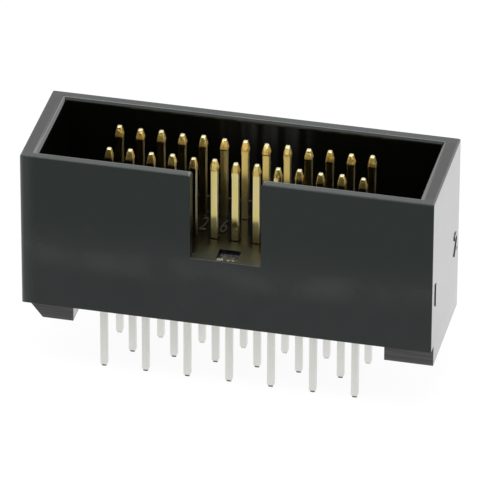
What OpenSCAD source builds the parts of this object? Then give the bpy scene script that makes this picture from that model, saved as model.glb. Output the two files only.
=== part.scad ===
// Shrouded board header with a key slot, two rows of posts and four staggered
// rows of solder tails. Millimetres. Z = 0 is the board's top face, X runs along
// the length, the key slot faces -Y and the mating plug comes down along -Z.

/* [Contact grid] */
// Posts in each row
columns = 13; // [5:2:25]
// Distance between neighbouring posts of a row
pitch = 1.27; // [1.2:0.01:2]
// Distance between the two rows of posts
row_gap = 2.54; // [2.2:0.01:3]
// Distance between neighbouring rows of solder tails
tail_row_gap = 1.905; // [1.7:0.005:2.1]

/* [Contact stamping] */
// Thickness of the metal sheet
sheet_t = 0.41; // [0.3:0.01:0.5]
// Width of a post across the sheet
post_w = 0.41; // [0.3:0.01:0.5]
// Height of a post above the cavity floor
post_h = 5.25; // [4:0.05:5.5]
// Height of the taper at the top of a post
post_tip_h = 0.55; // [0.2:0.05:0.8]
// Side of the small flat on top of a post
post_tip_w = 0.22; // [0.1:0.01:0.28]
// Width of a solder tail across the sheet
tail_w = 0.43; // [0.3:0.01:0.5]
// Length of a solder tail below the board's top face
tail_len = 3; // [2:0.05:4.5]
// Height of the taper at the end of a tail
tail_tip_h = 0.16; // [0.1:0.01:0.5]
// Side of the small flat at the end of a tail
tail_tip_w = 0.28; // [0.1:0.01:0.28]
// Height of the bar that joins post and tail inside the floor
bar_h = 1.5; // [0.8:0.05:2]
// Reach of a retention barb beyond the post's side
barb_reach = 0.05; // [0.02:0.01:0.1]
// Height of one retention barb
barb_h = 0.45; // [0.2:0.05:0.5]
// Retention barbs above one another on each side
barb_count = 2; // [1:1:3]

/* [Housing] */
// Thickness of the floor that holds the contacts
floor_t = 4.47; // [3.6:0.01:6]
// Depth of the cavity from the rim to the floor
cavity_h = 5.6; // [5.5:0.02:8]
// Thickness of the front and back walls
side_wall = 0.67; // [0.6:0.01:1.5]
// Thickness of the end walls
end_wall = 1.01; // [0.6:0.01:1.5]
// Room from a row of posts to the front or back wall
side_room = 1.995; // [1.6:0.005:3]
// Room from the last post of a row to the end wall
end_room = 3.73; // [3.5:0.01:6]
// Radius of the round lead-in inside the rim
lead_in_r = 0.3; // [0.1:0.01:0.4]
// Radius of the outer upright corners and of the rim's outer edge
edge_r = 0.1; // [0.05:0.01:0.3]
// Clearance round a contact in its hole
contact_fit = 0.02; // [0.01:0.01:0.05]
// Width of the bevel round the mouth of a post's hole
hole_bevel = 0.08; // [0.03:0.01:0.12]

/* [Key slot] */
// Width of the key slot in the front wall
key_w = 4.24; // [4.2:0.02:6]
// Radius of the rounded corners at the top of the key slot
key_r = 0.22; // [0.1:0.01:0.5]
// Width of the gate recess in the floor of the key slot
gate_w = 1.3; // [0.8:0.05:2]
// Length of the gate recess from front to back
gate_l = 1.1; // [0.6:0.05:1.3]
// Depth of the gate recess
gate_depth = 0.3; // [0.1:0.05:0.6]
// Land between the front face and the gate recess
gate_land = 0.3; // [0.2:0.05:0.5]

/* [Feet] */
// Height of the feet that hold the floor off the board
foot_h = 1.35; // [0.8:0.05:2]
// Length of a foot along the housing
foot_l = 2.95; // [1.8:0.05:3.1]
// Set-back of the feet behind the front face
foot_setback = 0.73; // [0.2:0.01:1.5]
// Inset of the sloped side that marks the first contact's end
foot_slope = 1.07; // [0.5:0.01:1.5]

/* [Hidden] */
$fn = 32;
// Overrun of a cut beyond the face that it opens
cut = 1;

under_z = foot_h;
floor_z = under_z + floor_t;
rim_z = floor_z + cavity_h;
seat_z = under_z + bar_h;
post_top_z = floor_z + post_h;
tail_end_z = -tail_len;

cavity_l = (columns - 1) * pitch + 2 * end_room;
cavity_w = row_gap + 2 * side_room;
body_l = cavity_l + 2 * end_wall;
body_w = cavity_w + 2 * side_wall;
front_y = -body_w / 2;

hole_t = sheet_t + 2 * contact_fit;
hole_w = post_w + 2 * contact_fit;
barb_zone_w = post_w + 2 * barb_reach;
barb_zone_h = barb_count * barb_h;

// Rows of contacts: -1 is the front row, 1 is the back row
ROWS = [-1, 1];

function column_x(i) = (i - (columns - 1) / 2) * pitch;
function post_y(row) = row * row_gap / 2;

// The tails of one row stand by turns on the outer and the inner line
function is_outer(row, i) = (i % 2 == 0) == (row < 0);
function tail_y(row, i) = row * (is_outer(row, i) ? 1.5 : 0.5) * tail_row_gap;
function tail_offset(row, i) = tail_y(row, i) - post_y(row);

function two_digits(n) = str(n < 10 ? "0" : "", n);
function contact_name(row, i) = str(row < 0 ? "front_contact_" : "back_contact_", two_digits(i + 1));

// Rectangle centred on the origin with four round corners
module round_rectangle(l, w, r) {
    square([l - 2 * r, w], center = true);
    square([l, w - 2 * r], center = true);
    for (x = [-1, 1])
        for (y = [-1, 1])
            translate([x * (l / 2 - r), y * (w / 2 - r)])
                circle(r);
}

// Upright section of the body: flat below, round at the two top corners
module rim_section(w, h, r) {
    translate([-w / 2, 0])
        square([w, h - r]);
    translate([-w / 2 + r, 0])
        square([w - 2 * r, h]);
    for (x = [-1, 1])
        translate([x * (w / 2 - r), h - r])
            circle(r);
}

// Profile drawn in X and Z, pushed to both sides of the XZ plane
module along_y(l) {
    rotate([90, 0, 0])
        linear_extrude(l, center = true)
            children();
}

// Profile drawn in Y and Z, pushed to both sides of the YZ plane
module along_x(l) {
    rotate([90, 0, 90])
        linear_extrude(l, center = true)
            children();
}

// Funnel of four sloped sides, from a small rectangle at z0 to a larger mouth at z1
module funnel(l, w, grow, z0, z1) {
    intersection() {
        along_y(w + 4 * grow)
            funnel_section(l, grow, z0, z1);
        along_x(l + 4 * grow)
            funnel_section(w, grow, z0, z1);
    }
}

module funnel_section(w, grow, z0, z1) {
    polygon([
        [-w / 2, z0],
        [w / 2, z0],
        [w / 2 + grow, z1],
        [w / 2 + grow, z1 + cut],
        [-w / 2 - grow, z1 + cut],
        [-w / 2 - grow, z1]
    ]);
}

// Outer block of the housing above the feet
module body_block() {
    intersection() {
        translate([0, 0, under_z])
            linear_extrude(rim_z - under_z)
                round_rectangle(body_l, body_w, edge_r);
        translate([0, 0, under_z])
            along_y(body_w)
                rim_section(body_l, rim_z - under_z, edge_r);
        translate([0, 0, under_z])
            along_x(body_l)
                rim_section(body_w, rim_z - under_z, edge_r);
    }
}

// Both feet, with the sloped side on the first contact's end
module feet() {
    foot_y0 = front_y + foot_setback;
    foot_w = body_w - foot_setback;
    intersection() {
        linear_extrude(under_z)
            round_rectangle(body_l, body_w, edge_r);
        translate([0, foot_y0 + foot_w / 2, 0])
            along_y(foot_w) {
                polygon([
                    [-body_l / 2, under_z],
                    [-body_l / 2 + foot_slope, 0],
                    [-body_l / 2 + foot_l, 0],
                    [-body_l / 2 + foot_l, under_z]
                ]);
                translate([body_l / 2 - foot_l, 0])
                    square([foot_l, under_z]);
            }
    }
}

// Opening of width w that rolls outwards to the rim on both sides
module rolled_mouth(w, r) {
    difference() {
        translate([-w / 2 - r, rim_z - r])
            square([w + 2 * r, r + cut]);
        for (x = [-1, 1])
            translate([x * (w / 2 + r), rim_z - r])
                circle(r);
    }
}

// Space that the mating plug goes into, with its round lead-in
module cavity() {
    translate([-cavity_l / 2, -cavity_w / 2, floor_z])
        cube([cavity_l, cavity_w, cavity_h + cut]);
    intersection() {
        along_y(cavity_w + 4 * lead_in_r)
            rolled_mouth(cavity_l, lead_in_r);
        along_x(cavity_l + 4 * lead_in_r)
            rolled_mouth(cavity_w, lead_in_r);
    }
}

// Slot in the front wall for the plug's key, from the rim to the floor
module key_slot() {
    slot_l = side_wall + 2 * cut;
    translate([0, front_y - cut + slot_l / 2, 0])
        along_y(slot_l) {
            translate([-key_w / 2, floor_z])
                square([key_w, cavity_h + cut]);
            rolled_mouth(key_w, key_r);
        }
}

// Shallow recess in the key slot's floor, where the moulding was filled
module gate_recess() {
    translate([-gate_w / 2, front_y + gate_land, floor_z - gate_depth])
        cube([gate_w, gate_l, gate_depth + cut]);
}

// Passage of one contact through the floor, centred on its post
module contact_hole(offset_y) {
    y0 = min(-post_w / 2, offset_y - tail_w / 2) - contact_fit;
    y1 = max(post_w / 2, offset_y + tail_w / 2) + contact_fit;
    translate([-hole_t / 2, y0, under_z - cut])
        cube([hole_t, y1 - y0, bar_h + cut]);
    translate([-hole_t / 2, -barb_zone_w / 2, seat_z])
        cube([hole_t, barb_zone_w, barb_zone_h]);
    translate([-hole_t / 2, -hole_w / 2, seat_z])
        cube([hole_t, hole_w, floor_z - seat_z + cut]);
    funnel(hole_t, hole_w, hole_bevel, floor_z - hole_bevel, floor_z);
}

module housing() {
    color([0.16, 0.165, 0.165])
        difference() {
            union() {
                body_block();
                feet();
            }
            cavity();
            key_slot();
            gate_recess();
            for (row = ROWS)
                for (i = [0 : columns - 1])
                    translate([column_x(i), post_y(row), 0])
                        contact_hole(tail_offset(row, i));
        }
}

// Outline of a contact in the plane of its sheet, Y across and Z up
module contact_outline(offset_y) {
    y0 = min(-post_w / 2, offset_y - tail_w / 2);
    y1 = max(post_w / 2, offset_y + tail_w / 2);
    polygon([
        [-post_w / 2, seat_z],
        [post_w / 2, seat_z],
        [post_w / 2, post_top_z - post_tip_h],
        [post_tip_w / 2, post_top_z],
        [-post_tip_w / 2, post_top_z],
        [-post_w / 2, post_top_z - post_tip_h]
    ]);
    for (n = [0 : barb_count - 1])
        polygon([
            [-barb_zone_w / 2, seat_z + n * barb_h],
            [barb_zone_w / 2, seat_z + n * barb_h],
            [post_w / 2, seat_z + (n + 1) * barb_h],
            [-post_w / 2, seat_z + (n + 1) * barb_h]
        ]);
    translate([y0, under_z])
        square([y1 - y0, bar_h]);
    translate([offset_y, 0])
        polygon([
            [-tail_w / 2, under_z],
            [-tail_w / 2, tail_end_z + tail_tip_h],
            [-tail_tip_w / 2, tail_end_z],
            [tail_tip_w / 2, tail_end_z],
            [tail_w / 2, tail_end_z + tail_tip_h],
            [tail_w / 2, under_z]
        ]);
}

// Edge-on outline of the sheet, coined thin at both ends
module coined_outline() {
    polygon([
        [-sheet_t / 2, tail_end_z + tail_tip_h],
        [-tail_tip_w / 2, tail_end_z],
        [tail_tip_w / 2, tail_end_z],
        [sheet_t / 2, tail_end_z + tail_tip_h],
        [sheet_t / 2, post_top_z - post_tip_h],
        [post_tip_w / 2, post_top_z],
        [-post_tip_w / 2, post_top_z],
        [-sheet_t / 2, post_top_z - post_tip_h]
    ]);
}

// One stamped contact: post, barbs, bar and solder tail
module contact(row, i) {
    offset_y = tail_offset(row, i);
    reach = 2 * (abs(offset_y) + post_w + tail_w);
    color([0.83, 0.72, 0.42])
        translate([column_x(i), post_y(row), 0])
            intersection() {
                along_x(sheet_t)
                    contact_outline(offset_y);
                along_y(reach)
                    coined_outline();
            }
}

housing();
for (row = ROWS)
    for (i = [0 : columns - 1])
        contact(row, i);
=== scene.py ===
# %% [markdown]
# # A shrouded board header
# The object is a small connector that is soldered to a circuit board: a black moulded
# box with a key slot in its front wall, two rows of gold posts inside, and four rows of
# tin-plated tails below. The imported solids are loaded first. They are the frame that
# every piece is fitted to, and their box is kept.

# %% Load the frame
from math import cos, pi, radians, sin
import bpy
from mathutils import Matrix, Vector


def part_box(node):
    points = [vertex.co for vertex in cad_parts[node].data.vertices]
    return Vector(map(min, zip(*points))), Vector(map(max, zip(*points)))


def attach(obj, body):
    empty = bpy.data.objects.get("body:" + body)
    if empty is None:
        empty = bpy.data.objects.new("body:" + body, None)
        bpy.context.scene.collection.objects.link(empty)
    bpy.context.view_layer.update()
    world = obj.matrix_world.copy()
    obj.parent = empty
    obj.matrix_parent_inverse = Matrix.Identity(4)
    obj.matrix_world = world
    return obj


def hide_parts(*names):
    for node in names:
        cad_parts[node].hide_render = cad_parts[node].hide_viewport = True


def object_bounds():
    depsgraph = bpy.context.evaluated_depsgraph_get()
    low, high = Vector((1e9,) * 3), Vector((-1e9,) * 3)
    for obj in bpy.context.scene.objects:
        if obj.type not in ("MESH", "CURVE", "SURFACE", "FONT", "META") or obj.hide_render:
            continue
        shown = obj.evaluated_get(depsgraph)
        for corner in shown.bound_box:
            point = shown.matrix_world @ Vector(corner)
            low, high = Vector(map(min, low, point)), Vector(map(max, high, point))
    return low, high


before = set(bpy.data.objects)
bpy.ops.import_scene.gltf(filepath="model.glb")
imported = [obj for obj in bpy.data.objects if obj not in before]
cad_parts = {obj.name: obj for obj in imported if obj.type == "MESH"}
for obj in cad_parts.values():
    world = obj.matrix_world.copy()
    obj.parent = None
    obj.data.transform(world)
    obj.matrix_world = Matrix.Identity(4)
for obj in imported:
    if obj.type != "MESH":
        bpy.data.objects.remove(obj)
cad_low, cad_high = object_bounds()
MM = 0.001
print("nodes in the frame:", len(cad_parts))
print("object size in mm:", [round(side / MM, 2) for side in cad_high - cad_low])

# %% [markdown]
# ## The camera
# The picture was taken with a long lens, so the sides of the box stay almost parallel.
# A lens could be guessed and the camera pushed about by eye. Here the direction, the
# distance and the lens are named values, and the camera is turned about the point that
# it looks at, so each can be changed by itself.

# %% Place the camera
view_azimuth = radians(12.9326)
view_elevation = radians(31.2465)
view_roll = radians(0.2031)
view_distance = 389.45 * MM
view_aim = Vector((-0.3932, 1.5971, 4.0433)) * MM
lens_mm = 492.27
sensor_mm = 36.0

towards_camera = Vector((
    sin(view_azimuth) * cos(view_elevation),
    -cos(view_azimuth) * cos(view_elevation),
    sin(view_elevation),
))
turn = (
    Matrix.Rotation(view_azimuth, 4, "Z")
    @ Matrix.Rotation(radians(90) - view_elevation, 4, "X")
    @ Matrix.Rotation(view_roll, 4, "Z")
)
bpy.ops.object.camera_add(
    location=view_aim + towards_camera * view_distance,
    rotation=turn.to_euler(),
)
camera = bpy.context.active_object
camera.data.lens = lens_mm
camera.data.sensor_width = sensor_mm
bpy.context.scene.camera = camera
bpy.context.scene.view_settings.view_transform = "Standard"
print("camera at", [round(c, 4) for c in camera.location])

# %% [markdown]
# ## Tools for modelling
# All pieces are drawn in millimetres and brought to metres at the end, because many of
# Blender's tools have limits that suit sizes near one. Faces, edges and points are
# picked by their place, as one would click them, and then an operator works on them.

# %% Helpers that make and pick
def start_fresh():
    if bpy.context.object and bpy.context.object.mode != "OBJECT":
        bpy.ops.object.mode_set(mode="OBJECT")
    bpy.ops.object.select_all(action="DESELECT")


def only(piece):
    start_fresh()
    piece.select_set(True)
    bpy.context.view_layer.objects.active = piece


def settle():
    """Puts the place, turn and scale of the active piece into its mesh."""
    bpy.ops.object.transform_apply(location=True, rotation=True, scale=True)


def block(name, low, high):
    """A box between two corners."""
    start_fresh()
    low, high = Vector(low), Vector(high)
    bpy.ops.mesh.primitive_cube_add(size=1, location=(low + high) / 2, scale=high - low)
    settle()
    bpy.context.active_object.name = name
    return bpy.context.active_object


def pick(piece, part, test):
    """Selects the faces, edges or points of a piece whose corners pass the test."""
    only(piece)
    bpy.ops.object.mode_set(mode="EDIT")
    bpy.ops.mesh.select_mode(type=part)
    bpy.ops.mesh.select_all(action="DESELECT")
    bpy.ops.object.mode_set(mode="OBJECT")
    mesh = piece.data
    if part == "VERT":
        found = [v for v in mesh.vertices if test([v.co])]
    else:
        parts = mesh.polygons if part == "FACE" else mesh.edges
        found = [p for p in parts if test([mesh.vertices[i].co for i in p.vertices])]
    for one in found:
        one.select = True
    bpy.ops.object.mode_set(mode="EDIT")
    return len(found)


same_place, margin = 0.004, 0.01


def near(value, target):
    return abs(value - target) < same_place


def between(value, start, end):
    return start - margin < value < end + margin


def all_at(points, axis, target):
    return all(near(p[axis], target) for p in points)


print("points closer than", same_place, "mm count as one place")

# %% [markdown]
# A second set of helpers changes what is picked, and finishes a piece: its creases are
# marked, its large faces are kept flat in the shading, and it is brought to metres.

# %% Helpers that change and finish
crease_angle, flat_weight = 40, 80
weld_distance = 0.0005


def extrude(move):
    bpy.ops.mesh.extrude_region_move(TRANSFORM_OT_translate={"value": move})


def resize(x=1.0, y=1.0, z=1.0, about=(0, 0, 0)):
    bpy.ops.transform.resize(value=(x, y, z), center_override=about)


def cut_plane(place, normal):
    """Scores the selected faces along a plane."""
    bpy.ops.mesh.bisect(plane_co=place, plane_no=normal)


def merge_points(distance=weld_distance):
    """Selects the whole mesh and merges points that lie almost on top of each other."""
    bpy.ops.mesh.select_all(action="SELECT")
    bpy.ops.mesh.remove_doubles(threshold=distance)


def apply(piece, kind, **settings):
    """Adds a modifier, sets it and applies it."""
    only(piece)
    modifier = piece.modifiers.new(kind.lower(), kind)
    for setting, value in settings.items():
        setattr(modifier, setting, value)
    bpy.ops.object.modifier_apply(modifier=modifier.name)


def level(piece, z):
    """Brings points that are meant to lie at one height to exactly that height."""
    start_fresh()
    for point in piece.data.vertices:
        if near(point.co.z, z):
            point.co.z = z


def carve(piece, cutter):
    """Takes the cutter's shape out of the piece and throws the cutter away."""
    apply(piece, "BOOLEAN", operation="DIFFERENCE", solver="EXACT", object=cutter)
    bpy.data.objects.remove(cutter)


def weld(piece, other):
    """Joins another closed shape to a piece."""
    apply(piece, "BOOLEAN", operation="UNION", solver="EXACT", object=other)
    bpy.data.objects.remove(other)


def smooth_edges(piece):
    """Smooth shading whose large faces stay flat and only the bevels turn."""
    pick(piece, "EDGE", lambda points: False)
    bpy.ops.mesh.edges_select_sharp(sharpness=radians(crease_angle))
    bpy.ops.mesh.mark_sharp()
    bpy.ops.object.mode_set(mode="OBJECT")
    bpy.ops.object.shade_smooth()
    apply(piece, "WEIGHTED_NORMAL", mode="FACE_AREA", weight=flat_weight, keep_sharp=True)


def to_metres(piece):
    only(piece)
    piece.scale = (MM, MM, MM)
    settle()


def report(piece):
    print(piece.name, "faces:", len(piece.data.polygons))


print("edges sharper than", crease_angle, "degrees stay creases")

# %% [markdown]
# ## Sizes
# The outer box and the places of the contacts are read from the frame. Walls, the key
# slot and the feet repeat the sizes that the part was built with.

# %% Named sizes in millimetres
low, high = (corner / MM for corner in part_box("housing"))
rim_z = high.z
side_wall, end_wall = 0.67, 1.01
lead_in_r = 0.30
cavity_h = 5.60
floor_z = rim_z - cavity_h
foot_h, foot_l, foot_setback, foot_slope = 1.35, 2.95, 0.73, 1.07
key_w, key_r = 4.24, 0.22
gate_w, gate_l, gate_depth, gate_land = 1.30, 1.10, 0.30, 0.30
outer_edge_r, fine_edge_r = 0.10, 0.03

pitch = 1.27
sheet_t, post_w, tail_w = 0.41, 0.41, 0.43
row_gap, tail_row_gap = 2.54, 1.905
post_h, post_tip_h, post_tip_w = 5.25, 0.55, 0.22
tail_len, tail_tip_h, tail_tip_w = 3.00, 0.16, 0.28
bar_h = 1.50
barb_reach, barb_h, barb_count = 0.05, 0.45, 2
contact_fit, hole_bevel = 0.02, 0.08
cutter_spare = 0.5
under_z = foot_h
seat_z = under_z + bar_h
post_top_z = floor_z + post_h
print("rim at", round(rim_z, 2), "floor at", round(floor_z, 2), "post tops at", round(post_top_z, 2))

# %% [markdown]
# ## The housing
# The real housing is one moulding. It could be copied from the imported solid, but that
# mesh is loose triangles, which no bevel can follow. So it is box-modelled again at the
# same sizes: a block, whose top face is inset and pushed down to make the cavity.

# %% Block and cavity
housing = block("moulded_housing", (low.x, low.y, under_z), high)
body_l, body_w = high.x - low.x, high.y - low.y
cavity_l, cavity_w = body_l - 2 * end_wall, body_w - 2 * side_wall

pick(housing, "FACE", lambda points: all_at(points, 2, rim_z))
bpy.ops.mesh.inset(thickness=side_wall)
resize(x=cavity_l / (body_l - 2 * side_wall), about=(0, 0, rim_z))
extrude((0, 0, -cavity_h))
level(housing, floor_z)
report(housing)

# %% [markdown]
# The two feet are drawn on the underside with three cuts and pulled down. The outer side
# of the foot at the first contact's end leans inwards, which marks that end.

# %% Feet
foot_front_y = low.y + foot_setback
for place, normal in (
    ((low.x + foot_l, 0, 0), (1, 0, 0)),
    ((high.x - foot_l, 0, 0), (1, 0, 0)),
    ((0, foot_front_y, 0), (0, 1, 0)),
):
    pick(housing, "FACE", lambda points: all_at(points, 2, under_z))
    cut_plane(place, normal)


def is_foot(points):
    middle = sum(points, Vector()) / len(points)
    outside = abs(middle.x) > high.x - foot_l
    return all_at(points, 2, under_z) and outside and middle.y > foot_front_y


pick(housing, "FACE", is_foot)
extrude((0, 0, -foot_h))
pick(housing, "VERT", lambda points: near(points[0].z, 0) and near(points[0].x, low.x))
bpy.ops.transform.translate(value=(foot_slope, 0, 0))
report(housing)

# %% [markdown]
# Moulded edges are never quite sharp. The upright corners and the outer rim get a small
# radius, and the inner rim a larger one that leads the plug in. Both are edge bevels
# with several segments, made while the rim is still one closed frame.

# %% Rounded rim and corners
lead_in_segments, outer_segments = 9, 4
shortest_corner = 0.5


def is_outer_edge(points):
    a, b = points
    upright = near(a.x, b.x) and near(a.y, b.y) and abs(a.z - b.z) > shortest_corner
    corner = near(abs(a.x), high.x) and near(abs(a.y), high.y)
    along_rim = all_at(points, 2, rim_z) and (
        all(near(abs(p.x), high.x) for p in points) or all(near(abs(p.y), high.y) for p in points)
    )
    return (upright and corner) or along_rim


def is_inner_rim(points):
    half_l, half_w = cavity_l / 2, cavity_w / 2
    inside = all(between(p.x, -half_l, half_l) and between(p.y, -half_w, half_w) for p in points)
    return inside and all_at(points, 2, rim_z)


pick(housing, "EDGE", is_inner_rim)
bpy.ops.mesh.bevel(offset=lead_in_r, segments=lead_in_segments, affect="EDGES")
pick(housing, "EDGE", is_outer_edge)
bpy.ops.mesh.bevel(offset=outer_edge_r, segments=outer_segments, affect="EDGES")


def is_miter(points):
    """Where the lead-in of a side wall meets that of an end wall."""
    on_diagonal = all(near(abs(p.x) - cavity_l / 2, abs(p.y) - cavity_w / 2) for p in points)
    return on_diagonal and all(between(p.z, rim_z - lead_in_r, rim_z) for p in points)


print("miter edges:", pick(housing, "EDGE", is_miter))
bpy.ops.mesh.mark_sharp()
bpy.ops.object.mode_set(mode="OBJECT")
report(housing)

# %% [markdown]
# The key slot reaches from the rim to the cavity floor, and its walls roll outwards at
# the top. The cutter is a block with a wider block on top, from whose sides two
# cylinders have been taken.

# %% Key slot
slot_spare, past_wall = 1.0, 0.8
roll_sides = 48
slot_front, slot_back = low.y - slot_spare, low.y + side_wall + past_wall
slot_top = rim_z + slot_spare
key_half, mouth_half = key_w / 2, key_w / 2 + key_r
slot = block("slot_cutter", (-key_half, slot_front, floor_z), (key_half, slot_back, slot_top))
mouth = block(
    "mouth_cutter",
    (-mouth_half, slot_front, rim_z - key_r),
    (mouth_half, slot_back, slot_top),
)
for side in (-1, 1):
    start_fresh()
    bpy.ops.mesh.primitive_cylinder_add(
        vertices=roll_sides,
        radius=key_r,
        depth=2 * (slot_back - slot_front),
        location=(side * mouth_half, low.y, rim_z - key_r),
        rotation=(radians(90), 0, 0),
    )
    settle()
    carve(mouth, bpy.context.active_object)
weld(slot, mouth)
level(slot, floor_z)
carve(housing, slot)
report(housing)

# %% [markdown]
# Every edge that is still sharp is broken with a fine bevel, as the steel of a mould is.
# Points that the bevel leaves almost on top of each other are merged, so that the surface
# stays closed for the cuts and welds that follow.

# %% Fine edges
sharp_angle, fine_segments = 34, 3
crowded_distance = 0.002
pick(housing, "EDGE", lambda points: False)
bpy.ops.mesh.edges_select_sharp(sharpness=radians(sharp_angle))
bpy.ops.mesh.bevel(offset=fine_edge_r, segments=fine_segments, affect="EDGES", clamp_overlap=False)
merge_points(crowded_distance)
bpy.ops.object.mode_set(mode="OBJECT")
report(housing)

# %% [markdown]
# ## The stamped contacts
# Each contact is punched from sheet metal. It is made here in the same way: a blank is
# scored along straight lines, the waste is deleted, and what is left is given the
# thickness of the sheet. The same helper makes the cutters for the holes in the floor,
# which are a contact's outline plus a clearance.

# %% Stamping helpers
flat_angle = 0.5


def stamp(name, thickness, bars):
    """A flat shape in Y and Z made of bars (y0, z0, y1, z1), pushed out along X."""
    start_fresh()
    ys = sorted({y for bar in bars for y in (bar[0], bar[2])})
    zs = sorted({z for bar in bars for z in (bar[1], bar[3])})
    bpy.ops.mesh.primitive_plane_add(
        size=1,
        location=(-thickness / 2, (ys[0] + ys[-1]) / 2, (zs[0] + zs[-1]) / 2),
        rotation=(radians(90), 0, radians(90)),
    )
    piece = bpy.context.active_object
    piece.name = name
    piece.scale = (ys[-1] - ys[0], zs[-1] - zs[0], 1)
    settle()
    for y in ys[1:-1]:
        pick(piece, "FACE", lambda points: True)
        cut_plane((0, y, 0), (0, 1, 0))
    for z in zs[1:-1]:
        pick(piece, "FACE", lambda points: True)
        cut_plane((0, 0, z), (0, 0, 1))

    def is_waste(points):
        middle = sum(points, Vector()) / len(points)
        return not any(b[0] < middle.y < b[2] and b[1] < middle.z < b[3] for b in bars)

    if pick(piece, "FACE", is_waste):
        bpy.ops.mesh.delete(type="FACE")
    pick(piece, "FACE", lambda points: True)
    extrude((thickness, 0, 0))
    merge_points()
    bpy.ops.mesh.normals_make_consistent(inside=False)
    return piece


def draw_in(piece, z, y_middle, x_factor, y_factor):
    """Scales the points at one height, to taper an end or flare a mouth."""
    pick(piece, "VERT", lambda points: near(points[0].z, z))
    resize(x=x_factor, y=y_factor, about=(0, y_middle, z))


def merge_flats(piece):
    """Takes away edges between faces that lie in one plane."""
    only(piece)
    bpy.ops.object.mode_set(mode="EDIT")
    bpy.ops.mesh.select_all(action="SELECT")
    bpy.ops.mesh.dissolve_limited(angle_limit=radians(flat_angle))
    bpy.ops.object.mode_set(mode="OBJECT")


def bar_span(offset, spare=0.0):
    """Where the bar between post and tail begins and ends across the sheet."""
    start = min(-post_w / 2, offset - tail_w / 2) - spare
    end = max(post_w / 2, offset + tail_w / 2) + spare
    return start, end


outer_offset = -(1.5 * tail_row_gap - row_gap / 2)
inner_offset = row_gap / 2 - 0.5 * tail_row_gap
print("a tail stands", round(outer_offset, 3), "or", round(inner_offset, 3), "mm from its post")

# %% [markdown]
# A contact has a post with a tip coined to a blunt point, barbs that hold it in the
# floor, a bar that carries it sideways, and a tail. A barb is a side of the post that is
# pulled out and closed to a wedge.

# %% Barbs and rising edges
shortest_rise = 0.05


def add_barb(piece, side, barb_low, barb_top):
    """Pulls one side of the post out and closes it to a wedge."""
    y = side * post_w / 2
    barb_y = y + side * barb_reach

    def is_side(points):
        return all(between(p.z, barb_low, barb_top) for p in points) and all_at(points, 1, y)

    def is_top_of_barb(points):
        return all_at(points, 2, barb_top) and all_at(points, 1, barb_y)

    pick(piece, "FACE", is_side)
    extrude((0, side * barb_reach, 0))
    pick(piece, "VERT", is_top_of_barb)
    bpy.ops.transform.translate(value=(0, -side * barb_reach, 0))
    merge_points()


def pick_rising_edges(piece, z_low, z_high):
    """Selects the corners of a post, tip or tail that run upwards between two heights."""
    def is_rising(points):
        inside = all(between(p.z, z_low, z_high) for p in points)
        return inside and abs(points[0].z - points[1].z) > shortest_rise

    pick(piece, "EDGE", is_rising)


print("barbs on each side of a post:", barb_count)

# %% [markdown]
# There are two stampings: one takes the tail to the outer line, the other to the inner
# line, and its post ends a little higher. Coining leaves a tip that tapers almost straight
# and swells at its foot, gently in the odd columns and to a ledge in the even ones. So each
# tip is scored at several heights, given as shares of its length, and the ring at each
# height is scaled by a factor of its own.

# %% Two master contacts
tip_forms = {
    "smooth": ((-0.80, 1.0), (0.0, 1.17), (0.35, 0.99), (0.65, 0.82), (0.88, 0.67)),
    "flared": ((-0.25, 1.0), (0.0, 1.20), (0.35, 1.01), (0.65, 0.83), (0.88, 0.67)),
}
post_stagger = 0.033
tip_corner_share, tip_segments, tip_edge_r = 20, 4, 0.025
post_edge_r, tail_edge_r = 0.03, 0.045
stub_h = 0.075


def contact_master(name, offset, rise, tip_form):
    y0, y1 = bar_span(offset)
    top_z, tail_z = post_top_z + rise, -tail_len + tail_tip_h
    tip_z = top_z - post_tip_h
    stub_z = -tail_len + stub_h
    barb_levels = [seat_z + n * barb_h for n in range(barb_count + 1)]
    tip_levels = [tip_z + share * post_tip_h for share, factor in tip_form]
    tail_levels = [-tail_len, stub_z, tail_z, under_z]
    post_levels = [*barb_levels, *tip_levels, top_z]
    tail_y0, tail_y1 = offset - tail_w / 2, offset + tail_w / 2
    bars = [(-post_w / 2, a, post_w / 2, b) for a, b in zip(post_levels, post_levels[1:])]
    bars += [(y0, under_z, y1, seat_z)]
    bars += [(tail_y0, a, tail_y1, b) for a, b in zip(tail_levels, tail_levels[1:])]
    piece = stamp(name, sheet_t, bars)
    for z, (share, factor) in zip(tip_levels, tip_form):
        draw_in(piece, z, 0, factor, factor)
    draw_in(piece, top_z, 0, post_tip_w / sheet_t, post_tip_w / post_w)
    for z in (stub_z, -tail_len):
        draw_in(piece, z, offset, tail_tip_w / sheet_t, tail_tip_w / tail_w)
    for side in (-1, 1):
        for barb_low, barb_top in zip(barb_levels, barb_levels[1:]):
            add_barb(piece, side, barb_low, barb_top)
    merge_flats(piece)
    pick_rising_edges(piece, tip_z, top_z)
    bpy.ops.mesh.bevel(
        offset_type="PERCENT", offset_pct=tip_corner_share, segments=tip_segments, affect="EDGES"
    )
    pick(piece, "EDGE", lambda points: all_at(points, 2, top_z))
    bpy.ops.mesh.bevel(offset=tip_edge_r, segments=fine_segments, affect="EDGES")
    pick_rising_edges(piece, barb_levels[-1], tip_z)
    bpy.ops.mesh.bevel(offset=post_edge_r, segments=fine_segments, affect="EDGES")
    pick_rising_edges(piece, -tail_len, seat_z)
    bpy.ops.mesh.bevel(offset=tail_edge_r, segments=fine_segments, affect="EDGES")
    smooth_edges(piece)
    report(piece)
    return piece


masters = {}
for tip, form in tip_forms.items():
    masters["outer", tip] = contact_master("outer_" + tip, outer_offset, -post_stagger, form)
    masters["inner", tip] = contact_master("inner_" + tip, inner_offset, post_stagger, form)

# %% [markdown]
# The floor of the housing has a passage for every contact, cut before the contacts are
# set in. A cutter is modelled once for each stamping and copied along the rows. The back
# row is the front row turned half round, and in each row the two stampings alternate.

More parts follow.
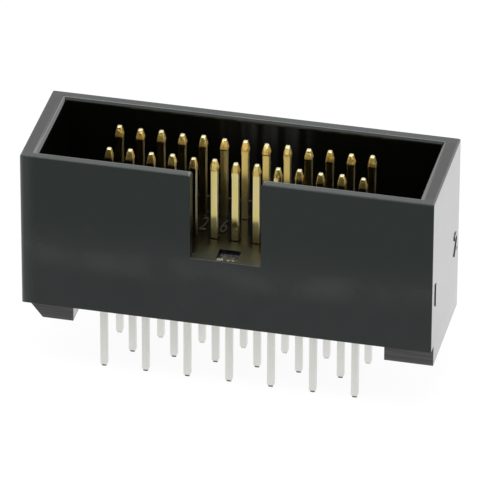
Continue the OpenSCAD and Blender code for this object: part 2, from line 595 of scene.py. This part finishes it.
# %% Passages through the floor
def passage_cutter(name, offset):
    y0, y1 = bar_span(offset, contact_fit)
    hole_t, hole_w = sheet_t + 2 * contact_fit, post_w + 2 * contact_fit
    barb_w = post_w + 2 * barb_reach
    barb_z = seat_z + barb_count * barb_h
    mouth_z = floor_z - hole_bevel
    top_z = floor_z + cutter_spare
    cutter = stamp(name, hole_t, [
        (y0, under_z - cutter_spare, y1, seat_z),
        (-barb_w / 2, seat_z, barb_w / 2, barb_z),
        (-hole_w / 2, barb_z, hole_w / 2, mouth_z),
        (-hole_w / 2, mouth_z, hole_w / 2, floor_z),
        (-hole_w / 2, floor_z, hole_w / 2, top_z),
    ])
    for z in (floor_z, top_z):
        draw_in(cutter, z, 0, 1 + 2 * hole_bevel / hole_t, 1 + 2 * hole_bevel / hole_w)
    bpy.ops.object.mode_set(mode="OBJECT")
    return cutter


def place_copy(master, name, x, row):
    """A copy of a master with its own mesh, set at its column and turned for its row."""
    only(master)
    bpy.ops.object.duplicate()
    piece = bpy.context.active_object
    piece.name = name
    piece.rotation_euler.z = radians(180) if row > 0 else 0
    piece.location = (x, row * row_gap / 2, 0)
    settle()
    return piece


def contact_places():
    """Each contact's node, its column's place along X, its row, its stamping and its tip."""
    for node in sorted(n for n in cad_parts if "contact" in n):
        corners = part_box(node)
        row = -1 if node.startswith("front") else 1
        odd_column = int(node[-2:]) % 2 == 1
        kind = "outer" if odd_column == (row < 0) else "inner"
        tip = "smooth" if odd_column else "flared"
        yield node, (corners[0].x + corners[1].x) / 2 / MM, row, kind, tip


cutters = {
    "outer": passage_cutter("outer_passage", outer_offset),
    "inner": passage_cutter("inner_passage", inner_offset),
}
passages = [
    place_copy(cutters[kind], "passage", x, row) for node, x, row, kind, tip in contact_places()
]
only(passages[0])
for passage in passages:
    passage.select_set(True)
bpy.ops.object.join()
carve(housing, passages[0])
for cutter in cutters.values():
    bpy.data.objects.remove(cutter)
print("passages cut:", len(passages))
report(housing)

# %% [markdown]
# The moulding was filled through the floor of the key slot, and a shallow recess there
# keeps the broken gate below the surface.

# %% Gate recess
gate_front = low.y + gate_land
recess = block(
    "gate_cutter",
    (-gate_w / 2, gate_front, floor_z - gate_depth),
    (gate_w / 2, gate_front + gate_l, floor_z + cutter_spare),
)
carve(housing, recess)
report(housing)

# %% [markdown]
# When the runner was broken off, the gate tore and left ragged lumps on the land in front
# of the recess and on its floor. A block is scored into a grid on top, and a seeded random
# move of the points of that grid gives the torn surface. It is then welded to the floor.
# A lump is given by its span along X, its span behind the front face, and its height above
# the floor.

# %% Torn gate
torn_depth, torn_root = 0.035, 0.05
torn_cuts = 3
torn_foot_z = floor_z - gate_depth - torn_root
torn_lumps = (
    (-0.58, -0.18, 0.10, 0.32, 0.045),
    (0.02, 0.20, 0.12, 0.32, 0.025),
    (0.31, 0.48, 0.14, 0.32, 0.020),
    (-0.40, 0.40, 0.50, 1.00, -0.170),
)


def tear(torn_low, torn_high, cuts, seed):
    """Welds a block with a ragged top to the housing."""
    lump = block("torn_lump", torn_low, torn_high)
    for axis in (0, 1):
        for n in range(1, cuts + 1):
            pick(lump, "FACE", lambda points: all_at(points, 2, torn_high.z))
            place, normal = torn_high.copy(), Vector()
            place[axis] = torn_low[axis] + (torn_high[axis] - torn_low[axis]) * n / (cuts + 1)
            normal[axis] = 1
            cut_plane(place, normal)
    pick(lump, "VERT", lambda points: near(points[0].z, torn_high.z))
    bpy.ops.transform.vertex_random(
        offset=torn_depth, uniform=0.0, normal=0.0, seed=seed, wait_for_input=False
    )
    bpy.ops.object.mode_set(mode="OBJECT")
    apply(lump, "TRIANGULATE")
    weld(housing, lump)


for seed, (x0, x1, y0, y1, top) in enumerate(torn_lumps):
    torn_low = Vector((x0, low.y + y0, torn_foot_z))
    torn_high = Vector((x1, low.y + y1, floor_z + top))
    tear(torn_low, torn_high, torn_cuts, seed)
report(housing)

# %% [markdown]
# Plain numerals stand on the moulding, as they do on most connectors: the row numbers on
# the end face and a number on the cavity floor. Each is a text that is given a depth and
# turned into a mesh. Half of that depth is sunk, so that it can be welded to the wall.

# %% Raised numerals
digit_tall, digit_share = 1.50, 0.70
end_proud, floor_proud = 0.05, 0.06
floor_narrow = 0.45
on_end_face, on_floor = (radians(90), 0, radians(90)), (0, 0, 0)


def raised_numeral(digit, narrow, proud, place, turn):
    """A digit that fills a known share of its text size, welded to the housing."""
    start_fresh()
    bpy.ops.object.text_add(location=place, rotation=turn)
    text = bpy.context.active_object
    text.data.body = digit
    text.data.size = digit_tall / digit_share
    text.data.extrude = proud
    text.data.resolution_u = 4
    text.data.align_x, text.data.align_y = "CENTER", "CENTER"
    text.scale.x = narrow
    bpy.ops.object.convert(target="MESH")
    settle()
    piece = bpy.context.active_object
    bpy.ops.object.mode_set(mode="EDIT")
    merge_points()
    bpy.ops.mesh.normals_make_consistent(inside=False)
    bpy.ops.object.mode_set(mode="OBJECT")
    weld(housing, piece)


raised_numeral("1", 1.0, end_proud, (high.x, -2.94, 4.68), on_end_face)
raised_numeral("2", 1.0, end_proud, (high.x, 2.94, 4.77), on_end_face)
raised_numeral("2", floor_narrow, floor_proud, (-2.18, -0.08, floor_z), on_floor)
raised_numeral("6", floor_narrow, floor_proud, (-0.96, -0.08, floor_z), on_floor)
report(housing)

# %% [markdown]
# The housing is now whole. Its edges are shaded, it is brought to metres, and it takes
# the place of the plain solid in the frame.

# %% Finished housing
smooth_edges(housing)
to_metres(housing)
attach(housing, "root")
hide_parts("housing")
report(housing)

# %% [markdown]
# The contacts are pressed into the floor from below, one by one. Here each is a copy of
# its stamping with a mesh of its own, turned for its row, and it takes the place of the
# solid of the same name.

# %% Set the contacts in their rows
contacts = []
for node, x, row, kind, tip in contact_places():
    contact = place_copy(masters[kind, tip], "plated_" + node, x, row)
    to_metres(contact)
    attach(contact, "root")
    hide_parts(node)
    contacts.append(contact)
for master in masters.values():
    bpy.data.objects.remove(master)
print("contacts set:", len(contacts))

# %% [markdown]
# ## Finishes
# Shader maths is easier to read as an expression than as a web of nodes. A small class
# wraps a node's socket, and each operator on it adds the Math node that it stands for.

# %% Shader expressions
class Wire:
    """A socket that takes part in Python arithmetic."""

    def __init__(self, finish, socket):
        self.finish = finish
        self.socket = socket

    def math(self, operation, *values):
        settings = {"operation": operation}
        return self.finish.node("ShaderNodeMath", settings, dict(enumerate(values)))

    def __add__(self, other):
        return self.math("ADD", self, other)

    def __sub__(self, other):
        return self.math("SUBTRACT", self, other)

    def __rsub__(self, other):
        return self.math("SUBTRACT", other, self)

    def __mul__(self, other):
        return self.math("MULTIPLY", self, other)

    __radd__ = __add__
    __rmul__ = __mul__

    def step(self, start, end):
        """0 below start, 1 above end, smooth between."""
        inputs = {"Value": self, "From Min": start, "From Max": end}
        return self.finish.node("ShaderNodeMapRange", {"interpolation_type": "SMOOTHSTEP"}, inputs)


print("wires can be added, subtracted, multiplied and stepped")

# %% [markdown]
# A second class holds a material or a world. One method makes all its nodes, and the others
# are short names for the nodes that the finishes below are built from.

# %% Materials and worlds
class Finish:
    """A material or a world whose nodes are made by one method."""

    def __init__(self, owner):
        owner.use_nodes = True
        self.owner = owner
        self.tree = owner.node_tree
        self.shader = self.tree.nodes.get("Principled BSDF")

    def node(self, kind, settings=None, inputs=None, output=0):
        made = self.tree.nodes.new(kind)
        for setting, value in (settings or {}).items():
            setattr(made, setting, value)
        for key, value in (inputs or {}).items():
            self.feed(made.inputs[key], value)
        return Wire(self, made.outputs[output])

    def feed(self, socket, value):
        if isinstance(value, Wire):
            self.tree.links.new(value.socket, socket)
        else:
            socket.default_value = value

    def shade(self, **values):
        for name, value in values.items():
            self.feed(self.shader.inputs[name.replace("_", " ")], value)

    def place(self, scale=(1, 1, 1)):
        """Object coordinates in millimetres, stretched by scale."""
        at = self.node("ShaderNodeTexCoord", output="Object")
        return self.node(
            "ShaderNodeMapping", {"vector_type": "POINT"},
            {"Vector": at, "Scale": tuple(s / MM for s in scale)},
        )

    def axis(self, vector, name):
        return self.node("ShaderNodeSeparateXYZ", {}, {"Vector": vector}, name)

    def noise(self, vector, scale, detail=2.0):
        return self.node(
            "ShaderNodeTexNoise", {}, {"Vector": vector, "Scale": scale, "Detail": detail}
        )

    def blend(self, factor, first, second):
        """From the first colour to the second as the factor goes from 0 to 1."""
        made = self.tree.nodes.new("ShaderNodeMix")
        made.data_type = "RGBA"
        self.feed(made.inputs[0], factor)
        self.feed(made.inputs[6], first)
        self.feed(made.inputs[7], second)
        return Wire(self, made.outputs[2])

    def layers(self, colour, *coats):
        """Lays coats over a colour. Each is a mask and the colour that shows where it is 1."""
        for mask, coat in coats:
            colour = self.blend(mask, colour, coat)
        return colour

    def bump(self, relief):
        """A surface raised by so many millimetres."""
        return self.node("ShaderNodeBump", {}, {"Height": relief, "Distance": MM})

    def glow(self, strength):
        return self.node("ShaderNodeEmission", {}, {"Strength": strength})

    def mix(self, factor, first, second):
        """From the first shader to the second as the factor goes from 0 to 1."""
        return self.node("ShaderNodeMixShader", {}, {0: factor, 1: first, 2: second})

    def light_path(self, name):
        return self.node("ShaderNodeLightPath", output=name)

    def show(self, surface):
        """Makes a shader the one that is seen."""
        outputs = [n for n in self.tree.nodes if n.bl_idname.startswith("ShaderNodeOutput")]
        self.tree.links.new(surface.socket, outputs[0].inputs["Surface"])


def dress(piece, finish):
    piece.data.materials.clear()
    piece.data.materials.append(finish.owner)


# %% [markdown]
# Black glass-filled plastic is not one flat black. Its finish depends on where a point lies
# and on the way it faces, so both are read first, together with some noises: a fine grain,
# two sizes of cloud, torn fibres, and the level lines that a tool leaves.

# %% Places and noises on the plastic
plastic = Finish(bpy.data.materials.new("black_filled_plastic"))
at = plastic.place()
along, across, height = (plastic.axis(at, name) for name in "XYZ")
facing = plastic.node("ShaderNodeNewGeometry", output="True Normal")
facing_x, facing_z = plastic.axis(facing, "X"), plastic.axis(facing, "Z")

grain = plastic.noise(at, 14.0, 3.0)
cloud = plastic.noise(at, 0.9, 2.0)
mottle = plastic.noise(at, 0.28, 1.0)
torn_fibre = plastic.noise(at, 22.0, 2.0).step(0.45, 0.60)
tool_marks = plastic.noise(plastic.place((0.25, 0.25, 7.0)), 1.0, 2.0)
print("nodes that read the place:", len(plastic.tree.nodes))

# %% [markdown]
# A mask is 1 where a finish shows and 0 elsewhere. On the outside, the mould polished the
# end faces and the sides of the feet, and the front has a faint sink mark at the level of
# the floor. The feet carry marks of the tool and are painted lighter all over, as painted
# light where the body shades them. Beside the end face at the first contact's end, the
# walls carry a painted highlight, as if that corner were rounded.

# %% Masks on the outside
near_end = (along * along).step(high.x ** 2 - 2.0, high.x ** 2 - 1.0)
near_end_face = (facing_x * facing_x).step(0.80, 0.95)
on_wall = 1 - facing_z.step(0.30, 0.60)
on_foot = 1 - height.step(under_z - 0.10, under_z - 0.02)
# Painted light: the whole foot is lightened where the body shades it; the streaks are tool marks.
foot_marks_and_painted_light = on_foot * (0.5 + 0.5 * tool_marks.step(0.35, 0.70))
polished = near_end_face * (1 - (1 - near_end) * (1 - on_foot))
upper_skin = height.step(floor_z - 0.4, floor_z + 2.0)
sink_z = floor_z - 0.9
sink_band = height.step(sink_z - 1.5, sink_z) * (1 - height.step(sink_z, sink_z + 1.3))
sink_mark = sink_band * mottle.step(0.25, 0.70)
beside_end = on_wall * (1 - near_end_face)
# Painted highlight beside the end face at the first contact's end, wide and narrow.
end_highlight_wide = beside_end * (1 - along.step(low.x - 0.3, low.x + 1.0))
end_highlight_narrow = beside_end * (1 - along.step(low.x - 0.05, low.x + 0.30))
print("sink mark at", round(sink_z, 2), "mm, upper skin from", round(floor_z - 0.4, 2), "mm")

# %% [markdown]
# Inside, the cavity is glossier, and it is painted darker, as painted shade. The sides of
# the key slot are painted paler upwards, as painted light, and a painted highlight lies
# along the lip of the lead-in. The floor is dull round the gate where the mould was
# filled, and painted lighter there, as painted light that comes in through the key slot.
# It is pale where the gate tore, and a painted highlight lies on each floor numeral.

# %% Masks in the cavity and the key slot
above_floor = height.step(floor_z + 0.3, floor_z + 0.5)
on_cavity_floor = facing_z.step(0.80, 0.95) * (1 - above_floor)
half_width_squared = cavity_w ** 2 / 4
# The cavity: glossier, and painted darker as painted shade.
cavity_gloss_and_shade = (
    (1 - near_end)
    * (1 - (across * across).step(half_width_squared, half_width_squared + 0.5))
    * height.step(floor_z - 0.50, floor_z - 0.40)
)
# Painted light: the sides of the key slot grow paler upwards.
slot_side_painted_light = (
    near_end_face
    * on_wall
    * (1 - (along * along).step(6.0, 7.0))
    * (1 - across.step(low.y + 0.7, low.y + 0.8))
    * height.step(floor_z + 1.5, floor_z + 4.0)
)
# Painted highlight along the lip of the lead-in.
lip_highlight = (
    height.step(rim_z - 0.14, rim_z - 0.10)
    * facing_z.step(0.83, 0.89)
    * (1 - facing_z.step(0.9970, 0.9995))
    * (1 - (across * across).step((high.y - 0.30) ** 2, (high.y - 0.20) ** 2))
    * (1 - (along * along).step((high.x - 0.60) ** 2, (high.x - 0.50) ** 2))
)
at_gate = (1 - (across - low.y).step(0.4, 0.5)) * (1 - (along * along).step(0.7, 0.9))
torn = at_gate * height.step(floor_z + 0.005, floor_z + 0.02) * (1 - above_floor)
in_recess = on_cavity_floor * (1 - height.step(floor_z - 0.2, floor_z - 0.1))
# Painted highlight on the raised numerals of the floor.
numeral_highlight = on_cavity_floor * (1 - at_gate) * height.step(floor_z + 0.03, floor_z + 0.05)
blush_x, blush_y = along * 0.42, (across - low.y - 0.6) * 0.50
# Round the gate the floor is dull and rougher, and painted lighter, as painted light through the key
# slot.
gate_blush_and_light = (
    on_cavity_floor
    * height.step(floor_z - 0.12, floor_z - 0.04)
    * (1 - (blush_x * blush_x + blush_y * blush_y).step(0.1, 1.0))
)
print("nodes with all masks:", len(plastic.tree.nodes))

# %% [markdown]
# The colours are laid over each other like coats of paint, from the plain skin to the torn
# gate. Only a few of them are far from black: most of what is seen is gloss.

# %% Black plastic
skin = plastic.blend(cloud, (0.0052, 0.0086, 0.0079, 1), (0.0106, 0.0142, 0.0135, 1))
skin = plastic.layers(
    skin,
    (upper_skin, (0.0038, 0.0084, 0.0072, 1)),
    (sink_mark, (0.0195, 0.0224, 0.0215, 1)),
    # painted light on the feet, with their tool marks
    (foot_marks_and_painted_light, (0.0600, 0.0600, 0.0580, 1)),
    # painted shade in the cavity
    (cavity_gloss_and_shade, (0.0015, 0.0016, 0.0012, 1)),
    # painted highlight beside the first contact's end
    (end_highlight_wide, (0.0300, 0.0310, 0.0310, 1)),
    (end_highlight_narrow * end_highlight_narrow, (0.1300, 0.1300, 0.1280, 1)),
    # painted light on the upper sides of the key slot
    (slot_side_painted_light, (0.0150, 0.0160, 0.0160, 1)),
    # painted highlight along the lip of the lead-in
    (lip_highlight, (0.0440, 0.0440, 0.0450, 1)),
    # painted light on the floor round the gate
    (gate_blush_and_light, (0.0090, 0.0110, 0.0045, 1)),
    (in_recess * torn_fibre, (0.0800, 0.0800, 0.0860, 1)),
    # painted highlight on the floor numerals
    (numeral_highlight * (0.3 + 0.7 * cloud), (0.0320, 0.0340, 0.0310, 1)),
    (torn * torn_fibre, (0.3600, 0.3600, 0.3200, 1)),
)
plastic.shade(
    Base_Color=skin,
    Roughness=0.20 + 0.06 * cloud + 0.05 * grain - 0.06 * cavity_gloss_and_shade + 0.26 * gate_blush_and_light,
    Coat_Weight=polished,
    Normal=plastic.bump((0.002 + 0.010 * gate_blush_and_light) * grain),
    IOR=1.46,
    Coat_Roughness=0.12,
    Coat_IOR=1.72,
)
dress(housing, plastic)
print("nodes of the plastic:", len(plastic.tree.nodes))

# %% [markdown]
# The posts are plated with gold over nickel and the tails with tin, so the finish changes
# with height. The posts are painted darker towards the floor, as painted shade where the
# front wall and the front posts keep the light off, higher up in the back row. The ends of
# the tails were cut after plating and show bare metal. Where a point lies across its own
# post comes from wrapping X by the pitch, and wrapping it by two pitches tells odd columns
# from even ones.

# %% Masks on the contacts
plating = Finish(bpy.data.materials.new("gold_and_tin_plating"))
at = plating.place()
along, across, height = (plating.axis(at, name) for name in "XYZ")
facing = plating.node("ShaderNodeNewGeometry", output="True Normal")
facing_x, facing_y, facing_z = (plating.axis(facing, name) for name in "XYZ")
tip_foot_z = post_top_z - post_tip_h
stub_top_z = -tail_len + stub_h

is_back_row = across.step(-0.6, 0.6)
is_front_row = 1 - is_back_row
on_post = along.math("WRAP", along, pitch / 2, -pitch / 2)
on_pair = along.math("WRAP", along, pitch, -pitch)
is_even_column = (on_pair * on_pair).step(0.25 * pitch ** 2, 0.35 * pitch ** 2)
is_gold = height.step(under_z + 0.2, under_z + 0.6)
is_tip = height.step(tip_foot_z - 0.07, tip_foot_z - 0.02)
is_low_tip = is_tip * (1 - height.step(tip_foot_z + 0.1 * post_tip_h, tip_foot_z + 0.6 * post_tip_h))
is_cap = is_tip * facing_z.step(0.60, 0.90)
is_facet = is_tip * (facing_y * facing_y).step(0.60, 0.75)
is_rolled_side = (facing_x * facing_x).step(0.4, 0.8)
is_cut_end = 1 - height.step(stub_top_z, stub_top_z + 0.01)
# Painted shade on the posts towards the floor, reaching higher in the back row.
shade_near_floor = 1 - height.step(floor_z + 0.2 + 0.6 * is_back_row, floor_z + 1.2 + 1.8 * is_back_row)
# The edges of a post, where a highlight is painted on the front row.
post_edge = (on_post * on_post).step((0.34 * post_w) ** 2, (0.5 * post_w) ** 2)
print("tips from", round(tip_foot_z, 2), "mm, bare ends below", round(stub_top_z, 3), "mm")

# %% [markdown]
# Rolling and drawing leave fine upright streaks. The gold is painted paler along the edges
# of the front posts and on the sides of the back posts, as painted highlights, and the back
# row is painted a deeper orange, as painted shade and reflection of the posts in front.
# Coining dents the tips. The front facets of the front row's tips are painted darker, and
# the feet of all tips warmer and darker, both as painted shade. Worn plating has a haze:
# there it is a little less of a metal, and shows its own colour.

# %% Gold and tin
streak = plating.noise(plating.place((9.0, 9.0, 0.6)), 1.0, 3.0)
broad_streak = plating.noise(plating.place((3.0, 3.0, 0.15)), 1.0, 1.0)
coining = plating.noise(at, 5.0, 1.0) - 0.5
tint = plating.noise(at, 0.8, 0.0)

tip_gold = plating.layers(
    plating.blend(tint.step(0.35, 0.65), (0.98, 0.69, 0.24, 1), (0.95, 0.81, 0.34, 1)),
    # painted shade on the front facets of the front tips
    (is_facet * is_front_row, (0.72, 0.63, 0.22, 1)),
    # painted shade at the foot of each tip, warmer and darker
    (0.6 * is_low_tip, (0.86, 0.54, 0.10, 1)),
)
gold = plating.layers(
    plating.blend(streak, (0.86, 0.70, 0.22, 1), (0.93, 0.80, 0.33, 1)),
    (tint.step(0.40, 0.65), (0.92, 0.76, 0.35, 1)),
    # painted shade and reflection: the back row a deeper orange
    (is_back_row, (0.80, 0.61, 0.19, 1)),
    # painted highlight along the edges of the front posts
    (is_front_row * post_edge * broad_streak.step(0.30, 0.55), (0.98, 0.92, 0.66, 1)),
    # painted highlight on the sides of the back posts
    (is_back_row * is_rolled_side, (0.97, 0.84, 0.48, 1)),
    # painted shade towards the floor
    (shade_near_floor, (0.30, 0.25, 0.10, 1)),
    (is_tip, tip_gold),
    (is_cap, (0.47, 0.43, 0.32, 1)),
)
tin = plating.layers(
    plating.blend(streak, (0.79, 0.80, 0.76, 1), (0.89, 0.89, 0.85, 1)),
    (is_cut_end * (1 - 0.8 * is_back_row), (0.16, 0.15, 0.14, 1)),
)
tip_haze = is_tip * (0.11 + 0.04 * is_even_column) - 0.04 * is_facet
low_tip_haze = 0.08 * is_low_tip * is_back_row
side_haze = 0.30 * is_rolled_side * broad_streak
face_haze = 0.04 * is_back_row * (1 - (along * along).step(4.0, 6.0))
haze = tip_haze + low_tip_haze + side_haze + face_haze
relief = 0.0015 * streak + 0.005 * broad_streak + 0.026 * is_tip * coining
plating.shade(
    Base_Color=plating.blend(is_gold, tin, gold),
    Metallic=0.92 + is_gold * (0.08 - haze),
    Roughness=0.30 - 0.18 * is_gold + 0.06 * is_tip + 0.06 * streak,
    Normal=plating.bump(relief),
)
for contact in contacts:
    dress(contact, plating)
print("contacts plated:", len(contacts), "with", len(plating.tree.nodes), "nodes")

# %% [markdown]
# ## Floor and light
# The object stands on its tails on a plain white floor. Lamps stay at a plain level, and
# the white of the background comes from what camera and mirror rays see of the floor. What
# is mirrored is darker in front of the object, where a camera would stand, and white behind
# it. The floor's own coordinates are in metres.

# %% Floor
start_fresh()
floor_reach = 3.0
bpy.ops.mesh.primitive_plane_add(size=floor_reach, location=(0, 0, cad_low.z))
settle()
floor = bpy.context.active_object
floor.name = "studio_floor"

paper = Finish(bpy.data.materials.new("white_paper"))
paper.shade(Base_Color=(0.8, 0.8, 0.8, 1), Roughness=0.9)
at = paper.node("ShaderNodeTexCoord", output="Object")
depth = paper.axis(at, "Y")
behind = depth.step(-0.015, 0.012)
close_by = depth.step(-0.090, -0.030)
is_seen = paper.light_path("Is Camera Ray")
is_mirrored = paper.light_path("Is Glossy Ray")
is_through = paper.light_path("Is Transmission Ray")

far_glow, near_glow, white_glow = 0.50, 0.64, 1.0
seen_share = 0.94
lit_paper = Wire(paper, paper.shader.outputs[0])
front_paper = paper.mix(close_by, paper.glow(far_glow), paper.glow(near_glow))
mirrored_paper = paper.mix(behind, front_paper, paper.glow(white_glow))
seen_paper = paper.mix(is_seen * seen_share + is_through, lit_paper, paper.glow(white_glow))
paper.show(paper.mix(is_mirrored, seen_paper, mirrored_paper))
dress(floor, paper)
print("floor at", round(cad_low.z / MM, 2), "mm, nodes:", len(paper.tree.nodes))

# %% [markdown]
# Six large soft lamps stand round the object, as in a light tent. Each is given by the
# direction that it shines from and by how bright its face is, because that brightness is
# what the plastic and the metal mirror.

# %% Lamps and surroundings
lamp_distance = 1.0


def softbox(name, azimuth, elevation, width, height, brightness):
    """A soft lamp that faces the object. Azimuth 0 is straight behind it, 90 is its right."""
    start_fresh()
    turn, rise = radians(azimuth), radians(elevation)
    place = Vector((sin(turn) * cos(rise), cos(turn) * cos(rise), sin(rise))) * lamp_distance
    bpy.ops.object.light_add(type="AREA", location=place)
    lamp = bpy.context.active_object
    lamp.name = name
    lamp.data.shape = "RECTANGLE"
    lamp.data.size, lamp.data.size_y = width, height
    lamp.data.energy = brightness * pi * width * height
    lamp.rotation_euler = (-place).to_track_quat("-Z", "Y").to_euler()
    print(name, "gives", round(lamp.data.energy, 2), "W")


softbox("back_left_softbox", -24, 24, 0.90, 0.80, 1.02)
softbox("back_right_softbox", 24, 24, 0.90, 0.80, 2.00)
softbox("top_softbox", 180, 80, 0.80, 0.50, 7.00)
softbox("front_softbox", 190, 24, 0.60, 0.70, 1.20)
softbox("left_softbox", -104, 40, 0.60, 0.60, 2.00)
softbox("right_softbox", 110, 40, 0.60, 0.60, 2.00)

room = Finish(bpy.data.worlds.new("soft_room"))
bpy.context.scene.world = room.owner
white = (1, 1, 1, 1)
room_strength, seen_strength = 0.6, 1.0
room_light = room.node("ShaderNodeBackground", {}, {"Color": white, "Strength": room_strength})
seen_white = room.node("ShaderNodeBackground", {}, {"Color": white, "Strength": seen_strength})
room.show(room.mix(room.light_path("Is Camera Ray"), room_light, seen_white))
